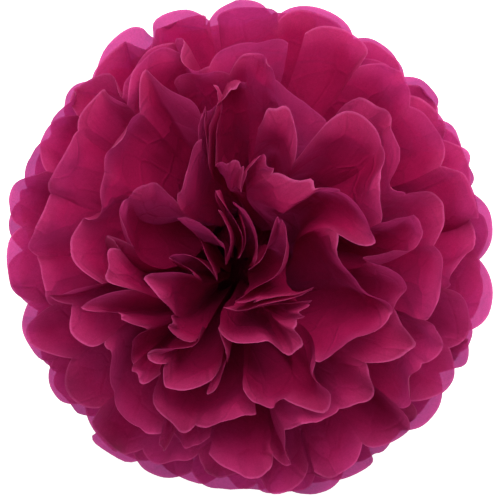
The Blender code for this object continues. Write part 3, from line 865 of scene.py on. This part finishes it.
def tissue_material(look):
    """Thin dyed tissue: matt in reflected light, glowing where light comes through."""
    material = bpy.data.materials.get("fuchsia_tissue")
    if material:
        return material
    material = bpy.data.materials.new("fuchsia_tissue")
    material.use_nodes = True
    material.use_transparent_shadow = False
    tree = material.node_tree
    tree.nodes.clear()
    put = tree.nodes.new
    place = put("ShaderNodeTexCoord")
    # The base colour carries the painted highlight along the cut edge.
    front = paper_fibres(tree, place.outputs["Object"], tissue_colour_with_painted_highlight(tree, look), cloud_scale=42.0,
                         cloud_strength=0.20, fibre_scale=800.0, fibre_strength=0.32)
    through = paper_fibres(tree, place.outputs["Object"], look.through, cloud_scale=42.0,
                           cloud_strength=0.26, fibre_scale=800.0, fibre_strength=0.40)
    normal = tissue_normal(tree, front.outputs["Height"])
    paper = put("ShaderNodeBsdfPrincipled")
    paper.inputs["Roughness"].default_value = look.roughness
    paper.inputs["Specular IOR Level"].default_value = 0.06
    link(tree, front.outputs["Colour"], paper.inputs["Base Color"])
    link(tree, normal, paper.inputs["Normal"])
    glow = put("ShaderNodeBsdfTranslucent")
    link(tree, through.outputs["Colour"], glow.inputs["Color"])
    link(tree, normal, glow.inputs["Normal"])
    lit = put("ShaderNodeMixShader")
    lit.inputs["Fac"].default_value = look.share_through
    link(tree, paper.outputs["BSDF"], lit.inputs[1])
    link(tree, glow.outputs["BSDF"], lit.inputs[2])
    clear = put("ShaderNodeBsdfTransparent")
    clear.inputs["Color"].default_value = (*look.clear, 1.0)
    seen = put("ShaderNodeMath")
    seen.operation = "MULTIPLY"
    seen.inputs[1].default_value = look.share_clear
    link(tree, put("ShaderNodeLightPath").outputs["Is Camera Ray"], seen.inputs[0])
    thin = put("ShaderNodeMixShader")
    link(tree, seen.outputs[0], thin.inputs["Fac"])
    link(tree, lit.outputs["Shader"], thin.inputs[1])
    link(tree, clear.outputs["BSDF"], thin.inputs[2])
    end = put("ShaderNodeOutputMaterial")
    link(tree, thin.outputs["Shader"], end.inputs["Surface"])
    return material


def wire_material(look):
    """Paper wound on the tie wire, with the ridges of its turns."""
    material = bpy.data.materials.new("wound_wire_cover")
    material.use_nodes = True
    tree = material.node_tree
    paper = tree.nodes["Principled BSDF"]
    place = tree.nodes.new("ShaderNodeTexCoord")
    fibres = paper_fibres(tree, place.outputs["Object"], look.wire_cover, cloud_scale=300.0,
                          cloud_strength=0.2, fibre_scale=2500.0, fibre_strength=0.25)
    turns = tree.nodes.new("ShaderNodeTexWave")
    turns.bands_direction = "DIAGONAL"
    turns.inputs["Scale"].default_value = 380.0
    turns.inputs["Distortion"].default_value = 1.0
    link(tree, place.outputs["Object"], turns.inputs["Vector"])
    bump = tree.nodes.new("ShaderNodeBump")
    bump.inputs["Strength"].default_value = 0.5
    bump.inputs["Distance"].default_value = 0.0001
    link(tree, turns.outputs["Fac"], bump.inputs["Height"])
    link(tree, fibres.outputs["Colour"], paper.inputs["Base Color"])
    link(tree, bump.outputs["Normal"], paper.inputs["Normal"])
    paper.inputs["Roughness"].default_value = 0.7
    return material


def floor_material(colour):
    """Pale matt floor with a barely uneven tone."""
    material = bpy.data.materials.new("pale_floor")
    material.use_nodes = True
    tree = material.node_tree
    paint = tree.nodes["Principled BSDF"]
    place = tree.nodes.new("ShaderNodeTexCoord")
    fibres = paper_fibres(tree, place.outputs["Object"], colour, cloud_scale=1.5, cloud_strength=0.01,
                          fibre_scale=40.0, fibre_strength=0.004)
    link(tree, fibres.outputs["Colour"], paint.inputs["Base Color"])
    paint.inputs["Roughness"].default_value = 0.9
    paint.inputs["Emission Color"].default_value = (1.0, 1.0, 1.0, 1.0)
    paint.inputs["Emission Strength"].default_value = 0.8
    paint.inputs["Specular IOR Level"].default_value = 0.1
    return material


def add_object(name, data):
    """A new object at the origin, in the scene."""
    made = bpy.data.objects.new(name, data)
    bpy.context.scene.collection.objects.link(made)
    return made


@functools.lru_cache
def laid_out(pleats, pleat_width, strip_length, sheets):
    """The fold net of a ball of these sizes and its sheets, worked out once for both halves."""
    net = FoldNet(pleats, pleat_width, strip_length, sheets)
    return net, net.lay_out_sheets()


def dress_half(context, group):
    """Replaces the sheets pulled one way with their fine tissue."""
    paper = context.scene.pom_pom_paper
    net, sheets = laid_out(paper.pleats, paper.pleat_width, paper.strip_length, paper.sheets)
    material = tissue_material(context.scene.pom_pom_tissue)
    for sheet in sheets:
        upper = sheet["index"] < net.each_way
        if upper != (group == "upper"):
            continue
        number = sheet["index"] + 1 if upper else net.count - sheet["index"]
        node = f"{group}_sheet_{number}"
        name = f"{group}_tissue_{number}"
        piece = add_object(name, Tissue(net, sheet, paper).mesh(name))
        piece.data.materials.append(material)
        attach(piece, "root")
        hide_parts(node)


class POMPOM_OT_upper_sheets(Operator):
    """Make the six tissue sheets that are pulled up"""

    bl_idname = "pom_pom.upper_sheets"
    bl_label = "Upper Sheets"

    def execute(self, context):
        dress_half(context, "upper")
        return {"FINISHED"}


class POMPOM_OT_lower_sheets(Operator):
    """Make the six tissue sheets that are pulled down"""

    bl_idname = "pom_pom.lower_sheets"
    bl_label = "Lower Sheets"

    def execute(self, context):
        dress_half(context, "lower")
        return {"FINISHED"}


class POMPOM_OT_tie_wire(Operator):
    """Give the tie wire its wound paper cover"""

    bl_idname = "pom_pom.tie_wire"
    bl_label = "Tie Wire"

    def execute(self, context):
        wire = bpy.data.objects["tie_wire"]
        if not wire.material_slots:
            raise RuntimeError("the tie wire has no material slot")
        material = wire_material(context.scene.pom_pom_tissue)
        for place in wire.material_slots:
            place.material = material
        return {"FINISHED"}


def aim(made, towards, up):
    """Turns a light or camera to look at a point, with a given way up in its view."""
    back = (made.location - Vector(towards)).normalized()
    right = Vector(up).cross(back).normalized()
    over = back.cross(right)
    turn = Matrix((right, over, back)).transposed().to_4x4()
    made.matrix_world = Matrix.Translation(made.location) @ turn


def add_light(name, place, power, size):
    """A soft square light that faces the ball."""
    light = bpy.data.lights.new(name, "AREA")
    light.energy = power
    light.size = size
    made = add_object(name, light)
    made.location = place
    aim(made, (0, 0, 0), (0, 1, 0.01))
    return made


class POMPOM_OT_stage(Operator):
    """Set the floor, the soft light and the camera"""

    bl_idname = "pom_pom.stage"
    bl_label = "Stage"

    def execute(self, context):
        stage = context.scene.pom_pom_stage
        mesh = bpy.data.meshes.new("floor")
        half, level = FLOOR_WIDTH / 2, BALL_LOW - FLOOR_SPACE
        corners = [(x * half, y * half, level) for x, y in ((-1, -1), (1, -1), (1, 1), (-1, 1))]
        mesh.from_pydata(corners, [], [(0, 1, 2, 3)])
        floor = add_object("floor", mesh)
        mesh.materials.append(floor_material(stage.floor))
        add_light("key_light", KEY_PLACE, stage.key_power, KEY_WIDTH)
        add_light("fill_light", FILL_PLACE, stage.fill_power, FILL_WIDTH)
        world = bpy.data.worlds.new("room")
        world.use_nodes = True
        world.node_tree.nodes["Background"].inputs["Color"].default_value = (1.0, 1.0, 1.0, 1.0)
        world.node_tree.nodes["Background"].inputs["Strength"].default_value = stage.sky
        context.scene.world = world
        context.scene.view_settings.view_transform = "Standard"

        camera = bpy.data.cameras.new("camera")
        camera.sensor_width = SENSOR_WIDTH
        distance = stage.camera_distance
        camera.lens = camera.sensor_width * distance / (BALL_WIDTH * stage.ball_share)
        made = add_object("camera", camera)
        lean = distance * math.sin(stage.tilt)
        made.location = (SIDE_LEAN * lean, lean, distance * math.cos(stage.tilt))
        aim(made, (0, 0, 0), (0, 1, 0))
        context.scene.camera = made
        return {"FINISHED"}


class POMPOM_PT_sidebar(Panel):
    """Lists the steps that make the pom pom"""

    bl_label = "Tissue Paper Pom Pom"
    bl_idname = "POMPOM_PT_sidebar"
    bl_space_type = "VIEW_3D"
    bl_region_type = "UI"
    bl_category = "Pom Pom"

    def draw(self, context):
        scene = context.scene
        for settings in (scene.pom_pom_paper, scene.pom_pom_tissue, scene.pom_pom_stage):
            box = self.layout.box()
            for title in settings.bl_rna.properties.keys():
                if title not in ("rna_type", "name"):
                    box.prop(settings, title)
        for operator in STEPS:
            self.layout.operator(operator.bl_idname)


SETTINGS = (PaperSettings, TissueSettings, StageSettings)
STEPS = (POMPOM_OT_upper_sheets, POMPOM_OT_lower_sheets, POMPOM_OT_tie_wire, POMPOM_OT_stage)


def register():
    for made in (*SETTINGS, *STEPS, POMPOM_PT_sidebar):
        bpy.utils.register_class(made)
    bpy.types.Scene.pom_pom_paper = PointerProperty(type=PaperSettings)
    bpy.types.Scene.pom_pom_tissue = PointerProperty(type=TissueSettings)
    bpy.types.Scene.pom_pom_stage = PointerProperty(type=StageSettings)


def unregister():
    for title in ("pom_pom_stage", "pom_pom_tissue", "pom_pom_paper"):
        delattr(bpy.types.Scene, title)
    for made in reversed((*SETTINGS, *STEPS, POMPOM_PT_sidebar)):
        bpy.utils.unregister_class(made)


def main():
    register()
    bpy.ops.pom_pom.upper_sheets()
    bpy.ops.pom_pom.lower_sheets()
    bpy.ops.pom_pom.tie_wire()
    bpy.ops.pom_pom.stage()


if __name__ == "__main__":
    main()
